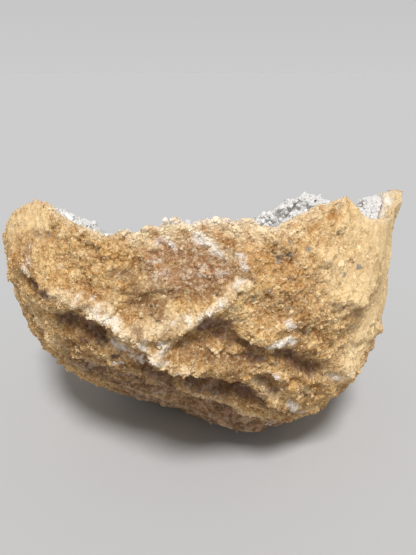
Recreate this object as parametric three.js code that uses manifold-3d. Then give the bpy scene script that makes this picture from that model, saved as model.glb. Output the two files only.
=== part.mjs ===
// Geode: half of a hollow stone. A crumbly rock rind is lined with a crust of quartz crystals,
// and the broken rim rises in two horns at the sides. It stands on a small flat under its belly.
//
// Millimetres and degrees, +Z up. The origin is on the surface it stands on, under the centre
// of the hollow. Longitude 0 looks along -Y, 90 along +X, and latitude -90 points down.
import * as THREE from 'three';
import { mergeVertices } from 'three/addons/utils/BufferGeometryUtils.js';
import Module from 'manifold-3d';

const wasm = await Module();
wasm.setup();

// ---- Driving dimensions ----
const STONE_RADIUS = 50.5; // the nodule before its sides were knocked flat
const CENTRE_HEIGHT = 48.5; // centre of the hollow above the surface it stands on
const RIND_THICKNESS = 4.4; // rock, from its general form to the crust
const THINNEST_RIND = 1.8; // under a groove
const CRUST_GAP = 0.55; // between the rock and the crust, so that the meshes stay apart
const CRUST_THICKNESS = 4.0; // the bed that the crystals grow from
const FLAT_SHARPNESS = 14; // how crisply a flat cuts the ball: higher is crisper

// Flats knocked on the ball: the direction of each and its distance from the centre.
const FLATS = [
  { lon: -44, lat: -36, distance: 48.9 },
  { lon: -12, lat: -52, distance: 43.4 },
  { lon: 74, lat: -10, distance: 49.6 },
  { lon: 168, lat: -22, distance: 47.4 },
  { lon: -128, lat: -30, distance: 47.0 },
];

// Broad swellings and hollows of the wall, which the inside follows too: direction, angular
// width, height.
const SWELLINGS = [
  { lon: 52, lat: -38, width: 22, height: 3.0 }, // shoulder low on the right
  { lon: 62, lat: -30, width: 9, height: 1.4 },
  { lon: 16, lat: -53, width: 12, height: 4.8 }, // belly in front
  { lon: -6, lat: -42, width: 11, height: -1.4 }, // step beside the belly
  { lon: 12, lat: -78, width: 17, height: 2.4 }, // foot
  { lon: -79, lat: 8, width: 18, height: -2.3 }, // hollow cheek at the left
  { lon: 88, lat: 18, width: 10, height: 2.4 }, // right horn
  { lon: 140, lat: -8, width: 14, height: 2.0 }, // knob behind
];

// Lumps and dents of the outside alone.
const LUMPS = [
  { lon: -48, lat: 12, width: 8, height: 0.2 }, // brow of the left horn
  { lon: -1, lat: 10, width: 10, height: -1.8 }, // spalled patch in front
  { lon: -45, lat: -9, width: 3.5, height: -1.8 }, // round pit
  { lon: -40, lat: -1, width: 4, height: -1.4 }, // pit above it
  { lon: -57, lat: -1, width: 3, height: 1.4 }, // tooth on the left edge
  { lon: 42, lat: -24, width: 4, height: 1.3 }, // tooth low on the right
  { lon: 9, lat: 10, width: 3, height: 1.4 }, // crystal nodule
  { lon: -7, lat: -44, width: 7, height: -3.0 }, // hollow beside the belly
  { lon: 78, lat: 4, width: 9, height: -1.1 }, // under the right horn
  { lon: -150, lat: -20, width: 10, height: 2.0 },
  { lon: 112, lat: -32, width: 12, height: 1.6 },
  { lon: -100, lat: -28, width: 11, height: 1.4 },
  { lon: -170, lat: -44, width: 12, height: -1.4 },
  { lon: 125, lat: -12, width: 7, height: -1.4 },
];

// Broken ledges and the grooves under them: each runs through its points, as [lon, lat].
const LEDGES = [
  {
    path: [[-34, 0], [-26, 0], [-20, -2], [-15, -5], [-11, -8], [-8, -10.5], [-4, -13]],
    width: 3.0,
    height: 1.5,
  },
  {
    path: [[-34, -6], [-26, -6], [-21, -8], [-16, -12], [-11.5, -15.5], [-6, -18.5]],
    width: 3.6,
    height: -2.8,
  },
  {
    path: [[-10, -4.5], [-4, -3.5], [0, -1.5], [1, 1], [4, 2.5], [8, 4.5]],
    width: 2.6,
    height: 1.4,
  },
  { path: [[-1, -6], [2, -4], [5, -3]], width: 3.4, height: -2.6 },
  { path: [[5, 0], [8, -3], [13, -6], [17, -6], [21, -4]], width: 2.6, height: 0.9 },
  { path: [[6, -6], [11, -9], [16, -11], [24, -14], [32, -19]], width: 2.8, height: -1.8 },
  { path: [[23, -11], [31, -15], [40, -21]], width: 2.8, height: 0.9 },
  {
    path: [[-7, -15], [-1, -14], [5, -15], [10, -16], [14, -19], [18, -25], [25, -37]],
    width: 2.8,
    height: 1.0,
  },
  { path: [[-2, -18], [5, -20], [12, -25]], width: 3.4, height: -2.6 },
  { path: [[15, -19], [19, -23], [24, -28]], width: 2.4, height: -1.6 },
  { path: [[19, -18], [23, -24], [30, -32]], width: 2.4, height: 0.9 },
  { path: [[-47, -22], [-36, -25], [-24, -27]], width: 5.0, height: -0.8 },
  { path: [[-48, 5], [-39, 8], [-34, 4]], width: 3.0, height: 0.8 },
  { path: [[22, -3], [31, -1], [40, -3]], width: 3.0, height: 0.6 },
  { path: [[96, -2], [112, -8], [128, -22], [150, -34]], width: 4.0, height: 1.5 },
  { path: [[98, -9], [112, -15], [126, -29], [146, -41]], width: 4.0, height: -2.2 },
  { path: [[-90, -8], [-108, -12], [-124, -16], [-140, -12]], width: 4.0, height: 1.4 },
  { path: [[-92, -15], [-108, -19], [-124, -23], [-140, -20]], width: 4.0, height: -2.0 },
  { path: [[172, -20], [-176, -26], [-166, -34]], width: 4.0, height: 1.2 },
];

// Soft waves that keep the rest of the rock from being smooth: each runs across the ball,
// with how often it repeats along X, Y and Z, where it starts and its height.
const WAVES = [
  { along: [5.1, 3.2, 7.4], start: 0.4, height: 0.45 },
  { along: [-6.3, 4.9, 5.6], start: 2.1, height: 0.4 },
  { along: [9.8, -7.2, 6.1], start: 4.0, height: 0.3 },
  { along: [-4.2, 11.3, -8.7], start: 1.3, height: 0.25 },
  { along: [13.1, 8.4, -12.2], start: 5.2, height: 0.2 },
];

// The broken rim, all the way round: [lon, height of the rock's outer edge, height of the
// crust's edge], both over the centre of the hollow.
const RIM = [
  [-180, -12.5, -12], [-165, -11.5, -11], [-150, -13, -13], [-135, -10, -10.5], [-120, -8, -8.5],
  [-105, -4, -5], [-90, 0, -1.5], [-75, 5, 2.5], [-65, 9, 6], [-57, 13.2, 9.8], [-50, 16.4, 12.8],
  [-44, 17.4, 14.2], [-39, 16.7, 14], [-34, 15.8, 12.4], [-28, 14.9, 10.8], [-22, 13.5, 10.4],
  [-18, 14.3, 11.2], [-12, 15.6, 12.4], [-6, 17.4, 14.2], [-2, 16.5, 14.2], [3, 17.1, 14.6],
  [10, 17.6, 14.4], [13, 15.9, 13.8], [18, 15.2, 13.2], [23, 17, 14], [29, 18.2, 15.2],
  [34, 18.9, 15.8], [36, 19.3, 15.6], [41, 16, 13.2], [45, 14, 11.4], [52, 13, 9.6],
  [62, 11.6, 8.4], [72, 11.4, 8.4], [80, 12, 9.2], [88, 13.8, 11], [95, 12, 10], [103, 5.4, 5],
  [110, 2, 4.8], [118, 1.6, 4.8], [126, 2, 4.8], [135, 1.6, 4.4], [143, 0, 2.4], [150, -4, -2.2],
  [160, -8, -7], [170, -11, -10], [180, -12.5, -12],
];
const BEVEL_ON_ROCK = 0.6; // how much of the drop from rock edge to crust edge the rock takes
const CRUST_RIM_SLOPE = 1.2; // how far the crust's edge slopes down to the hollow

// Facets: meridians are closer together in front, where the ledges are.
const FRONT_HALF_WIDTH = 60;
const FRONT_MERIDIANS = 32;
const BACK_MERIDIANS = 32;
const OUTSIDE_ROWS = 26;
const LINING_ROWS = 9;
const HOLLOW_ROWS = 8;

// Crystals of the crust.
const CRYSTAL_COUNT = 130;
const CRYSTAL_SIDES = 6;
const CRYSTAL_RADIUS = { least: 1.9, most: 3.4 };
const CRYSTAL_REACH = { least: 1.0, most: 1.9 }; // length of the prism over its radius
const CRYSTAL_POINT = 1.15; // length of the point over the radius
const CRYSTAL_ROOT = 1.4; // how deep it is set in the bed
const CRYSTAL_LEAN = 16; // greatest lean from square
const CRYSTAL_RIM_CLEARANCE = 4.5; // below the crust's broken edge
const TOP_OF_CRYSTALS = 17; // over the centre of the hollow
const GOLDEN_ANGLE = 137.508;
const SEED = 7;

// ---- Shape of the rock ----
const radians = THREE.MathUtils.degToRad;
const degrees = THREE.MathUtils.radToDeg;

function direction(lon, lat) {
  const across = Math.cos(radians(lat));
  const x = across * Math.sin(radians(lon));
  const y = -across * Math.cos(radians(lon));
  return new THREE.Vector3(x, y, Math.sin(radians(lat)));
}

// Distance from the centre to the ball with its flats.
function ballRadius(lon, lat) {
  const heading = direction(lon, lat);
  let sum = STONE_RADIUS ** -FLAT_SHARPNESS;
  for (const flat of FLATS) {
    const facing = Math.max(heading.dot(direction(flat.lon, flat.lat)), 0);
    sum += (facing / flat.distance) ** FLAT_SHARPNESS;
  }
  return sum ** (-1 / FLAT_SHARPNESS);
}

function bell(distance, width) {
  return Math.exp(-((distance / width) ** 2));
}

function lumpHeight(lump, lon, lat) {
  const angle = degrees(direction(lon, lat).angleTo(direction(lump.lon, lump.lat)));
  return lump.height * bell(angle, lump.width);
}

// Distance from the centre to the general form of the stone, without lumps or ledges.
function formRadius(lon, lat) {
  let radius = ballRadius(lon, lat);
  for (const swelling of SWELLINGS) radius += lumpHeight(swelling, lon, lat);
  return radius;
}

// Angle from a direction to the nearest place on a ledge.
function angleToPath(path, lon, lat) {
  const squeeze = Math.cos(radians(lat));
  let nearest = Infinity;
  for (let i = 0; i + 1 < path.length; i += 1) {
    const start = flatOffset(path[i], lon, lat, squeeze);
    const end = flatOffset(path[i + 1], lon, lat, squeeze);
    const run = end.clone().sub(start);
    const share = THREE.MathUtils.clamp(-start.dot(run) / run.lengthSq(), 0, 1);
    nearest = Math.min(nearest, start.addScaledVector(run, share).length());
  }
  return nearest;
}

function flatOffset([pathLon, pathLat], lon, lat, squeeze) {
  const turn = THREE.MathUtils.euclideanModulo(pathLon - lon + 180, 360) - 180;
  return new THREE.Vector2(turn * squeeze, pathLat - lat);
}

function ledgeHeight(ledge, lon, lat) {
  return ledge.height * bell(angleToPath(ledge.path, lon, lat), ledge.width);
}

function waveHeight(wave, lon, lat) {
  const across = direction(lon, lat).dot(new THREE.Vector3(...wave.along));
  return wave.height * Math.sin(across + wave.start);
}

function outsideRadius(lon, lat) {
  let radius = formRadius(lon, lat);
  for (const lump of LUMPS) radius += lumpHeight(lump, lon, lat);
  for (const ledge of LEDGES) radius += ledgeHeight(ledge, lon, lat);
  for (const wave of WAVES) radius += waveHeight(wave, lon, lat);
  return Math.max(radius, liningRadius(lon, lat) + THINNEST_RIND);
}

// The lining is where rock and crust meet, and the bed is where the crystals start.
function liningRadius(lon, lat) {
  return formRadius(lon, lat) - RIND_THICKNESS;
}

function crustRadius(lon, lat) {
  return liningRadius(lon, lat) - CRUST_GAP;
}

function bedRadius(lon, lat) {
  return crustRadius(lon, lat) - CRUST_THICKNESS;
}

// ---- Rim ----
function rimAt(lon) {
  const next = Math.max(RIM.findIndex(([rimLon]) => rimLon > lon), 1);
  const [startLon, startRock, startCrust] = RIM[next - 1];
  const [endLon, endRock, endCrust] = RIM[next];
  const share = (lon - startLon) / (endLon - startLon);
  return {
    rock: THREE.MathUtils.lerp(startRock, endRock, share),
    crust: THREE.MathUtils.lerp(startCrust, endCrust, share),
  };
}

// Latitude at which a surface, going up one meridian, reaches a height over the centre.
function latitudeAtHeight(radiusAt, lon, height) {
  let lat = 0;
  for (let step = 0; step < 12; step += 1) {
    const rise = THREE.MathUtils.clamp(height / radiusAt(lon, lat), -1, 1);
    lat = degrees(Math.asin(rise));
  }
  return lat;
}

// A point on a surface, held level with the flat that the stone stands on.
function pointAt(lon, lat, radius) {
  const point = direction(lon, lat).multiplyScalar(radius);
  point.z = Math.max(point.z + CENTRE_HEIGHT, 0);
  return point;
}

// One meridian of a surface, as points from under the centre up to a height at the rim.
function meridian(radiusAt, lon, topHeight, rows) {
  const top = latitudeAtHeight(radiusAt, lon, topHeight);
  const points = [];
  for (let row = 0; row <= rows; row += 1) {
    const lat = THREE.MathUtils.lerp(-90, top, row / rows);
    points.push(pointAt(row === 0 ? 0 : lon, lat, radiusAt(row === 0 ? 0 : lon, lat)));
  }
  return points;
}

// ---- Solids ----
function meridianLongitudes() {
  const longitudes = [];
  for (let i = 0; i < FRONT_MERIDIANS; i += 1) {
    longitudes.push(-FRONT_HALF_WIDTH + (i * 2 * FRONT_HALF_WIDTH) / FRONT_MERIDIANS);
  }
  const backWidth = 360 - 2 * FRONT_HALF_WIDTH;
  for (let i = 0; i < BACK_MERIDIANS; i += 1) {
    const lon = FRONT_HALF_WIDTH + (i * backWidth) / BACK_MERIDIANS;
    longitudes.push(lon >= 180 ? lon - 360 : lon);
  }
  return longitudes;
}

// A bowl turned on a lathe whose section changes round the axis: outline(lon) gives the
// section's points, from the axis up the outside, over the rim and down the inside.
function bowl(longitudes, outline) {
  const sections = longitudes.map(outline);
  sections.push(sections[0]);
  const rows = sections[0].length;
  const profile = sections[0].map((point) => new THREE.Vector2(Math.abs(point.y), point.z));
  const geometry = new THREE.LatheGeometry(profile, longitudes.length);
  const place = geometry.getAttribute('position');
  sections.forEach((points, i) => {
    points.forEach((point, row) => place.setXYZ(i * rows + row, point.x, point.y, point.z));
  });
  return solid(sewn(geometry));
}

// The geometry with its shared vertices merged.
function sewn(geometry) {
  geometry.deleteAttribute('normal');
  geometry.deleteAttribute('uv');
  return mergeVertices(geometry, 1e-4);
}

function solid(geometry) {
  const vertProperties = new Float32Array(geometry.getAttribute('position').array);
  const triVerts = new Uint32Array(geometry.getIndex().array);
  return new wasm.Manifold(new wasm.Mesh({ numProp: 3, vertProperties, triVerts }));
}

function geometryOf(manifold) {
  const mesh = manifold.getMesh();
  const geometry = new THREE.BufferGeometry();
  geometry.setAttribute('position', new THREE.BufferAttribute(mesh.vertProperties, 3));
  geometry.setIndex(new THREE.BufferAttribute(mesh.triVerts, 1));
  geometry.computeVertexNormals();
  return geometry;
}

function rindOutline(lon) {
  const { rock, crust } = rimAt(lon);
  const innerEdge = THREE.MathUtils.lerp(rock, crust, BEVEL_ON_ROCK);
  const outside = meridian(outsideRadius, lon, rock, OUTSIDE_ROWS);
  const lining = meridian(liningRadius, lon, innerEdge, LINING_ROWS);
  return [...outside, ...lining.reverse()];
}

function crustOutline(lon) {
  const edge = rimAt(lon).crust;
  const back = meridian(crustRadius, lon, edge, LINING_ROWS);
  const bed = meridian(bedRadius, lon, edge - CRUST_RIM_SLOPE, HOLLOW_ROWS);
  return [...back, ...bed.reverse()];
}

// Repeatable random numbers from 0 to 1.
function randomNumbers(seed) {
  let state = seed;
  return () => {
    state = (state * 1664525 + 1013904223) % 4294967296;
    return state / 4294967296;
  };
}

// A six-sided quartz crystal standing on +Y, with its root under the origin.
function crystal(radius, length) {
  const profile = [
    new THREE.Vector2(0, -CRYSTAL_ROOT),
    new THREE.Vector2(radius, -CRYSTAL_ROOT),
    new THREE.Vector2(radius * 0.94, length),
    new THREE.Vector2(0, length + radius * CRYSTAL_POINT),
  ];
  return new THREE.LatheGeometry(profile, CRYSTAL_SIDES);
}

function crystalOnBed(lon, lat, random) {
  const span = CRYSTAL_RADIUS.most - CRYSTAL_RADIUS.least;
  const radius = CRYSTAL_RADIUS.least + span * random() ** 1.5;
  const reach = THREE.MathUtils.lerp(CRYSTAL_REACH.least, CRYSTAL_REACH.most, random());
  const inward = direction(lon, lat).negate();
  const lean = new THREE.Euler(
    radians(CRYSTAL_LEAN * (2 * random() - 1)),
    radians(360 * random()),
    radians(CRYSTAL_LEAN * (2 * random() - 1)),
  );
  const stand = new THREE.Quaternion().setFromUnitVectors(new THREE.Vector3(0, 1, 0), inward);
  const turn = stand.multiply(new THREE.Quaternion().setFromEuler(lean));
  const root = pointAt(lon, lat, bedRadius(lon, lat));
  const placement = new THREE.Matrix4().compose(root, turn, new THREE.Vector3(1, 1, 1));
  return solid(sewn(crystal(radius, radius * reach)).applyMatrix4(placement));
}

// Crystals in an even spiral from the bottom of the hollow up to its rim.
function withCrystals(bed) {
  const random = randomNumbers(SEED);
  const deepest = -bedRadius(0, -90);
  let crust = bed;
  for (let i = 0; i < CRYSTAL_COUNT; i += 1) {
    const height = THREE.MathUtils.lerp(deepest, TOP_OF_CRYSTALS, (i + 0.5) / CRYSTAL_COUNT);
    const lon = THREE.MathUtils.euclideanModulo(i * GOLDEN_ANGLE, 360) - 180;
    if (height > rimAt(lon).crust - CRYSTAL_RIM_CLEARANCE) continue;
    const lat = latitudeAtHeight(bedRadius, lon, height);
    crust = crust.add(crystalOnBed(lon, lat, random));
  }
  return crust;
}

// ---- Model ----
function rindMesh(longitudes) {
  const rock = new THREE.MeshStandardMaterial({ color: 0xc39a63, roughness: 0.95, metalness: 0 });
  const mesh = new THREE.Mesh(geometryOf(bowl(longitudes, rindOutline)), rock);
  mesh.name = 'rind';
  return mesh;
}

function crustMesh(longitudes) {
  const everySecond = longitudes.filter((lon, i) => i % 2 === 0);
  const quartz = new THREE.MeshStandardMaterial({ color: 0xe4e2e0, roughness: 0.3, metalness: 0 });
  const mesh = new THREE.Mesh(geometryOf(withCrystals(bowl(everySecond, crustOutline))), quartz);
  mesh.name = 'crystal_crust';
  return mesh;
}

const geode = new THREE.Group();
const longitudes = meridianLongitudes();
geode.add(rindMesh(longitudes), crustMesh(longitudes));

export default geode;
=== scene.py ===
"""Half a geode on a pale table: sugary ochre rock outside, a crust of quartz crystals inside.

Shapes are worked out in millimetres and degrees, and scaled to metres when a mesh is made.
Longitude 0 looks along -Y, 90 along +X, and latitude -90 points down. The rock's general form
repeats the values of the CAD part, and everything finer is added here.
"""

import itertools
import math

import bpy
import numpy as np
from mathutils import Euler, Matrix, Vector


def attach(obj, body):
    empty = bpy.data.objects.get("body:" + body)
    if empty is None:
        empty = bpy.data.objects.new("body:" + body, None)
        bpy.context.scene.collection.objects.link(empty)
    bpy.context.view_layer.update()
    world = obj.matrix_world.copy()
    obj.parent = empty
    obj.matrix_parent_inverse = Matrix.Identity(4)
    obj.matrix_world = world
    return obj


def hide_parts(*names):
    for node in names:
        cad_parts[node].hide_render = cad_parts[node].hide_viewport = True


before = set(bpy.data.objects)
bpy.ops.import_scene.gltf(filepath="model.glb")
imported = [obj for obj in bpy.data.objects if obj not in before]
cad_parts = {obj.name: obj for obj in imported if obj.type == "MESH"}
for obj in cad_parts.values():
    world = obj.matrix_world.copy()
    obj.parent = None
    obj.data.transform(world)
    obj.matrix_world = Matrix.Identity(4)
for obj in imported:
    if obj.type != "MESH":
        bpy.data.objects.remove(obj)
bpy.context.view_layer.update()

# ---- Sizes shared with the CAD part, in millimetres and degrees ----
MM = 0.001
STONE_RADIUS = 50.5
CENTRE_HEIGHT = 48.5
RIND_THICKNESS = 4.4
THINNEST_RIND = 1.8
CRUST_GAP = 0.55
CRUST_THICKNESS = 4.0
FLAT_SHARPNESS = 14

# Flats knocked on the ball: longitude, latitude, distance from the centre.
FLATS = [
    (-44, -36, 48.9),
    (-12, -52, 43.4),
    (74, -10, 49.6),
    (168, -22, 47.4),
    (-128, -30, 47.0),
]

# Broad swellings of the wall: longitude, latitude, angular width, height.
SWELLINGS = [
    (52, -38, 22, 3.0),
    (62, -30, 9, 1.4),
    (16, -53, 12, 4.8),
    (-6, -42, 11, -1.4),
    (12, -78, 17, 2.4),
    (-79, 8, 18, -2.3),
    (88, 18, 10, 2.4),
    (140, -8, 14, 2.0),
]

# Lumps and dents of the outside alone, in the same terms.
LUMPS = [
    (-48, 12, 8, 0.2),
    (-1, 10, 10, -1.8),
    (-45, -9, 3.5, -1.8),
    (-40, -1, 4, -1.4),
    (-57, -1, 3, 1.4),
    (42, -24, 4, 1.3),
    (9, 10, 3, 1.4),
    (-7, -44, 7, -3.0),
    (78, 4, 9, -1.1),
    (-150, -20, 10, 2.0),
    (112, -32, 12, 1.6),
    (-100, -28, 11, 1.4),
    (-170, -44, 12, -1.4),
    (125, -12, 7, -1.4),
]

# The longest ledges and grooves of the back: the points that each runs through.
RIGHT_LEDGE = [(96, -2), (112, -8), (128, -22), (150, -34)]
RIGHT_GROOVE = [(98, -9), (112, -15), (126, -29), (146, -41)]
LEFT_LEDGE = [(-90, -8), (-108, -12), (-124, -16), (-140, -12)]
LEFT_GROOVE = [(-92, -15), (-108, -19), (-124, -23), (-140, -20)]

# Broken ledges (raised) and the grooves under them (sunk): the points that each runs through,
# its angular width and its height.
LEDGES = [
    ([(-34, 0), (-26, 0), (-20, -2), (-15, -5), (-11, -8), (-8, -10.5), (-4, -13)], 3.0, 1.5),
    ([(-10, -4.5), (-4, -3.5), (0, -1.5), (1, 1), (4, 2.5), (8, 4.5)], 2.6, 1.4),
    ([(5, 0), (8, -3), (13, -6), (17, -6), (21, -4)], 2.6, 0.9),
    ([(23, -11), (31, -15), (40, -21)], 2.8, 0.9),
    ([(-7, -15), (-1, -14), (5, -15), (10, -16), (14, -19), (18, -25), (25, -37)], 2.8, 1.0),
    ([(19, -18), (23, -24), (30, -32)], 2.4, 0.9),
    ([(-48, 5), (-39, 8), (-34, 4)], 3.0, 0.8),
    ([(22, -3), (31, -1), (40, -3)], 3.0, 0.6),
    (RIGHT_LEDGE, 4.0, 1.5),
    (LEFT_LEDGE, 4.0, 1.4),
    ([(172, -20), (-176, -26), (-166, -34)], 4.0, 1.2),
]
GROOVES = [
    ([(-34, -6), (-26, -6), (-21, -8), (-16, -12), (-11.5, -15.5), (-6, -18.5)], 3.6, -2.8),
    ([(-1, -6), (2, -4), (5, -3)], 3.4, -2.6),
    ([(6, -6), (11, -9), (16, -11), (24, -14), (32, -19)], 2.8, -1.8),
    ([(-2, -18), (5, -20), (12, -25)], 3.4, -2.6),
    ([(15, -19), (19, -23), (24, -28)], 2.4, -1.6),
    ([(-47, -22), (-36, -25), (-24, -27)], 5.0, -0.8),
    (RIGHT_GROOVE, 4.0, -2.2),
    (LEFT_GROOVE, 4.0, -2.0),
]

# Soft waves across the ball: repeats along X, Y and Z, where it starts, height.
WAVES = [
    ((5.1, 3.2, 7.4), 0.4, 0.45),
    ((-6.3, 4.9, 5.6), 2.1, 0.4),
    ((9.8, -7.2, 6.1), 4.0, 0.3),
    ((-4.2, 11.3, -8.7), 1.3, 0.25),
    ((13.1, 8.4, -12.2), 5.2, 0.2),
]

# The broken rim: longitude, height of the rock's outer edge, height of the crust's edge.
RIM = [
    (-180, -12.5, -12), (-165, -11.5, -11), (-150, -13, -13), (-135, -10, -10.5),
    (-120, -8, -8.5), (-105, -4, -5), (-90, 0, -1.5), (-75, 5, 2.5), (-65, 9, 6),
    (-57, 13.2, 9.8), (-50, 16.4, 12.8), (-44, 17.4, 14.2), (-39, 16.7, 14), (-34, 15.8, 12.4),
    (-28, 14.9, 10.8), (-22, 13.5, 10.4), (-18, 14.3, 11.2), (-12, 15.6, 12.4), (-6, 17.4, 14.2),
    (-2, 16.5, 14.2), (3, 17.1, 14.6), (10, 17.6, 14.4), (13, 15.9, 13.8), (18, 15.2, 13.2),
    (23, 17, 14), (29, 18.2, 15.2), (34, 18.9, 15.8), (36, 19.3, 15.6), (41, 16, 13.2),
    (45, 14, 11.4), (52, 13, 9.6), (62, 11.6, 8.4), (72, 11.4, 8.4), (80, 12, 9.2),
    (88, 13.8, 11), (95, 12, 10), (103, 5.4, 5), (110, 2, 4.8), (118, 1.6, 4.8),
    (126, 2, 4.8), (135, 1.6, 4.4), (143, 0, 2.4), (150, -4, -2.2), (160, -8, -7),
    (170, -11, -10), (180, -12.5, -12),
]
# Share of the step between the two edges that is on the rock's side of the gap.
BEVEL_ON_ROCK = 0.6
# How much lower than its outer edge the crust's inner edge is.
CRUST_RIM_SLOPE = 1.2

# Knobs and notches, finer than the CAD part has, of the rock's and the crust's edges at the rim:
# longitude, width, height.
ROCK_TEETH = [
    (-58, 3.5, -1.0), (-38, 2.5, -0.3), (-14, 1.2, -0.8), (-9, 2.0, -1.0), (-5.2, 1.2, 0.3),
    (-2.8, 1.6, -0.7), (8, 1.6, -0.7), (12.4, 1.2, 0.5), (35.8, 1.4, -1.1), (38.4, 1.4, 1.3),
    (88, 5, -0.8),
]
CRUST_TEETH = [(-29, 5, 1.2), (2, 6, 0.6), (90, 5, 1.0), (104, 8, -2.8), (132, 7, 0.9)]
# How far the whole ragged edge is lowered, so that its teeth stand about the CAD part's edge.
ROCK_EDGE_SINK = 0.35
CRUST_EDGE_SINK = 0.5

# Sharp lips of broken layers, which the CAD part leaves out: the points that each runs through, its
# width to the left of the way it runs, its width to the right, and its height.
LIPS = [
    ([(-34, -1.5), (-28, -2), (-22, -3.2), (-18, -5), (-14, -8), (-10.5, -10.8)], 3.4, 0.5, 1.2),
    ([(-10.5, -10.8), (-7.5, -13), (-4, -15.5), (-1, -17.5), (5, -18.4)], 2.4, 0.5, 0.9),
    ([(5, -18.4), (9, -19.5), (12.5, -22), (15.5, -26)], 2.6, 0.5, 1.0),
    ([(-9, -5.5), (-4, -4.8), (-1, -3.6), (0.5, -1.5), (1.5, 0)], 2.6, 0.5, 1.0),
    ([(2, 0.6), (4.5, 1.8), (6.5, 4.2), (8.5, 5.8)], 1.8, 0.7, 0.6),
    ([(5, -1.5), (7, -4.5), (10, -6.5), (15, -8.8), (20, -10), (25, -13), (31, -18)], 2.4, 0.5, 0.8),
    ([(8, -10.8), (12, -11.3), (16, -12.8), (20, -16)], 1.6, 0.4, 0.7),
    ([(14, -17.5), (18, -20.5), (22, -24), (27, -28)], 2.0, 0.5, 0.7),
    ([(17, -28), (21, -30.5), (27, -34)], 2.0, 0.5, 0.8),
    ([(-2, -25), (4, -28.5), (9, -34), (15, -38.5), (24, -42)], 3.0, 0.6, 0.7),
    ([(21, -16), (27, -21), (34, -25)], 1.8, 0.5, 0.5),
    ([(36, -21), (46, -24), (58, -27)], 2.0, 0.5, 0.8),
    ([(33, -27), (43, -32), (54, -36)], 2.0, 0.5, 0.8),
    ([(29, -34), (38, -39), (48, -43)], 2.0, 0.5, 0.8),
    ([(42, -14), (52, -17), (62, -19)], 1.8, 0.5, 0.4),
    ([(-47, 3.5), (-41, 3.5), (-36, 2.6), (-32, 1.5)], 2.4, 0.5, 0.7),
    ([(-46, -17), (-38, -19), (-30, -19.5), (-24, -19.5)], 2.6, 0.6, 0.6),
    ([(9, 5), (14, 4.6), (19, 3), (22, 0)], 2.4, 0.5, 0.5),
    ([(-18, 4.6), (-13, 4.4), (-8, 5)], 2.0, 0.5, 0.5),
    ([(29, 0), (35, -1.2), (40, -3.5)], 2.4, 0.6, 0.5),
    ([(14, 16), (18, 13), (21, 9.5)], 2.0, 0.5, 0.4),
    ([(150, -37), (128, -25), (112, -11), (96, -5)], 0.8, 4.5, 1.2),
    ([(-140, -15), (-124, -19), (-108, -15), (-90, -11)], 4.5, 0.8, 1.1),
    ([(172, -23), (180, -26), (-168, -36)], 4.0, 0.8, 1.0),
    ([(60, -18), (74, -26), (92, -30)], 4.0, 0.8, 0.8),
    ([(-78, -20), (-66, -28), (-54, -32)], 4.0, 0.8, 0.8),
]

# ---- Fineness of the meshes: columns and rows, with more of both in the front ----
FRONT_HALF_WIDTH = 90
FRONT_MERIDIANS = 350
BACK_MERIDIANS = 150
# The lowest part of each meridian, up to FOOT_SHARE of it, is under the stone.
FOOT_SHARE = 0.22
FOOT_ROWS = 12
FACE_ROWS = 168
BREAK_ROWS = 10
LINING_ROWS = 5
CRUST_MERIDIANS = 240
CRUST_BREAK_ROWS = 8
BED_ROWS = 70


# ---- Repeatable noise ----
def cell_numbers(cells, salt):
    """A repeatable number from 0 to 1 for each whole-numbered cell."""
    x, y, z = np.moveaxis(cells.astype(np.int64), -1, 0)
    mixed = (x * 73856093) ^ (y * 19349663) ^ (z * 83492791) ^ (salt * 961748927)
    mixed = (mixed ^ (mixed >> 13)) * 1274126177
    mixed = mixed ^ (mixed >> 16)
    return (mixed & 0xFFFFFF) / 0xFFFFFF


def smooth_noise(points, size, salt):
    """Smooth noise from -1 to 1 whose lumps are about size across."""
    scaled = points / size
    cell = np.floor(scaled)
    share = scaled - cell
    share = share * share * (3 - 2 * share)
    total = np.zeros(points.shape[:-1])
    for corner in itertools.product((0, 1), repeat=3):
        weight = np.prod(np.where(corner, share, 1 - share), axis=-1)
        total += weight * cell_numbers(cell + corner, salt)
    return 2 * total - 1


def layered_noise(points, size, layers, salt):
    """Smooth noise with finer and lower layers laid over it."""
    total = np.zeros(points.shape[:-1])
    for layer in range(layers):
        total += smooth_noise(points, size / 2**layer, salt + layer) / 2**layer
    return total


def jumble(points, size, salt):
    """The grain of a jumble that each point is in: its distance from the grain's middle, how
    far it is inside the grain's edge, the offset from the middle, and the grain's cell."""
    scaled = points / size
    cell = np.floor(scaled)
    nearest = np.full(points.shape[:-1], np.inf)
    second = np.full(points.shape[:-1], np.inf)
    offset = np.zeros(points.shape)
    home = np.zeros(points.shape)
    for step in itertools.product((-1, 0, 1), repeat=3):
        neighbour = cell + step
        inside = [cell_numbers(neighbour, salt + axis) for axis in range(3)]
        away = scaled - neighbour - np.stack(inside, axis=-1)
        distance = np.linalg.norm(away, axis=-1)
        closer = distance < nearest
        second = np.where(closer, nearest, np.minimum(second, distance))
        nearest = np.where(closer, distance, nearest)
        offset = np.where(closer[..., None], away, offset)
        home = np.where(closer[..., None], neighbour, home)
    return nearest, second - nearest, offset, home


def chips(points, size, salt):
    """Heights of broken flat facets, each at its own level and tilt, from about -1 to 1."""
    _, _, offset, home = jumble(points, size, salt)
    level = 2 * cell_numbers(home, salt + 5) - 1
    tilt = np.stack([2 * cell_numbers(home, salt + 6 + axis) - 1 for axis in range(3)], axis=-1)
    return 0.5 * level + 1.1 * np.sum(tilt * offset, axis=-1)


def domes(points, size, salt):
    """Heights of rounded grains packed together, 1 on top and 0 in the gaps."""
    nearest, inside, _, home = jumble(points, size, salt)
    own = 0.55 + 0.45 * cell_numbers(home, salt + 5)
    return np.clip(inside * 2.2, 0, 1) * own * np.clip(1.15 - nearest, 0, 1)


def creases(points, size, salt):
    """Rounded lumps from 0 to about 1 with sharp creases between them."""
    return np.abs(layered_noise(points, size, 2, salt))


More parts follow.
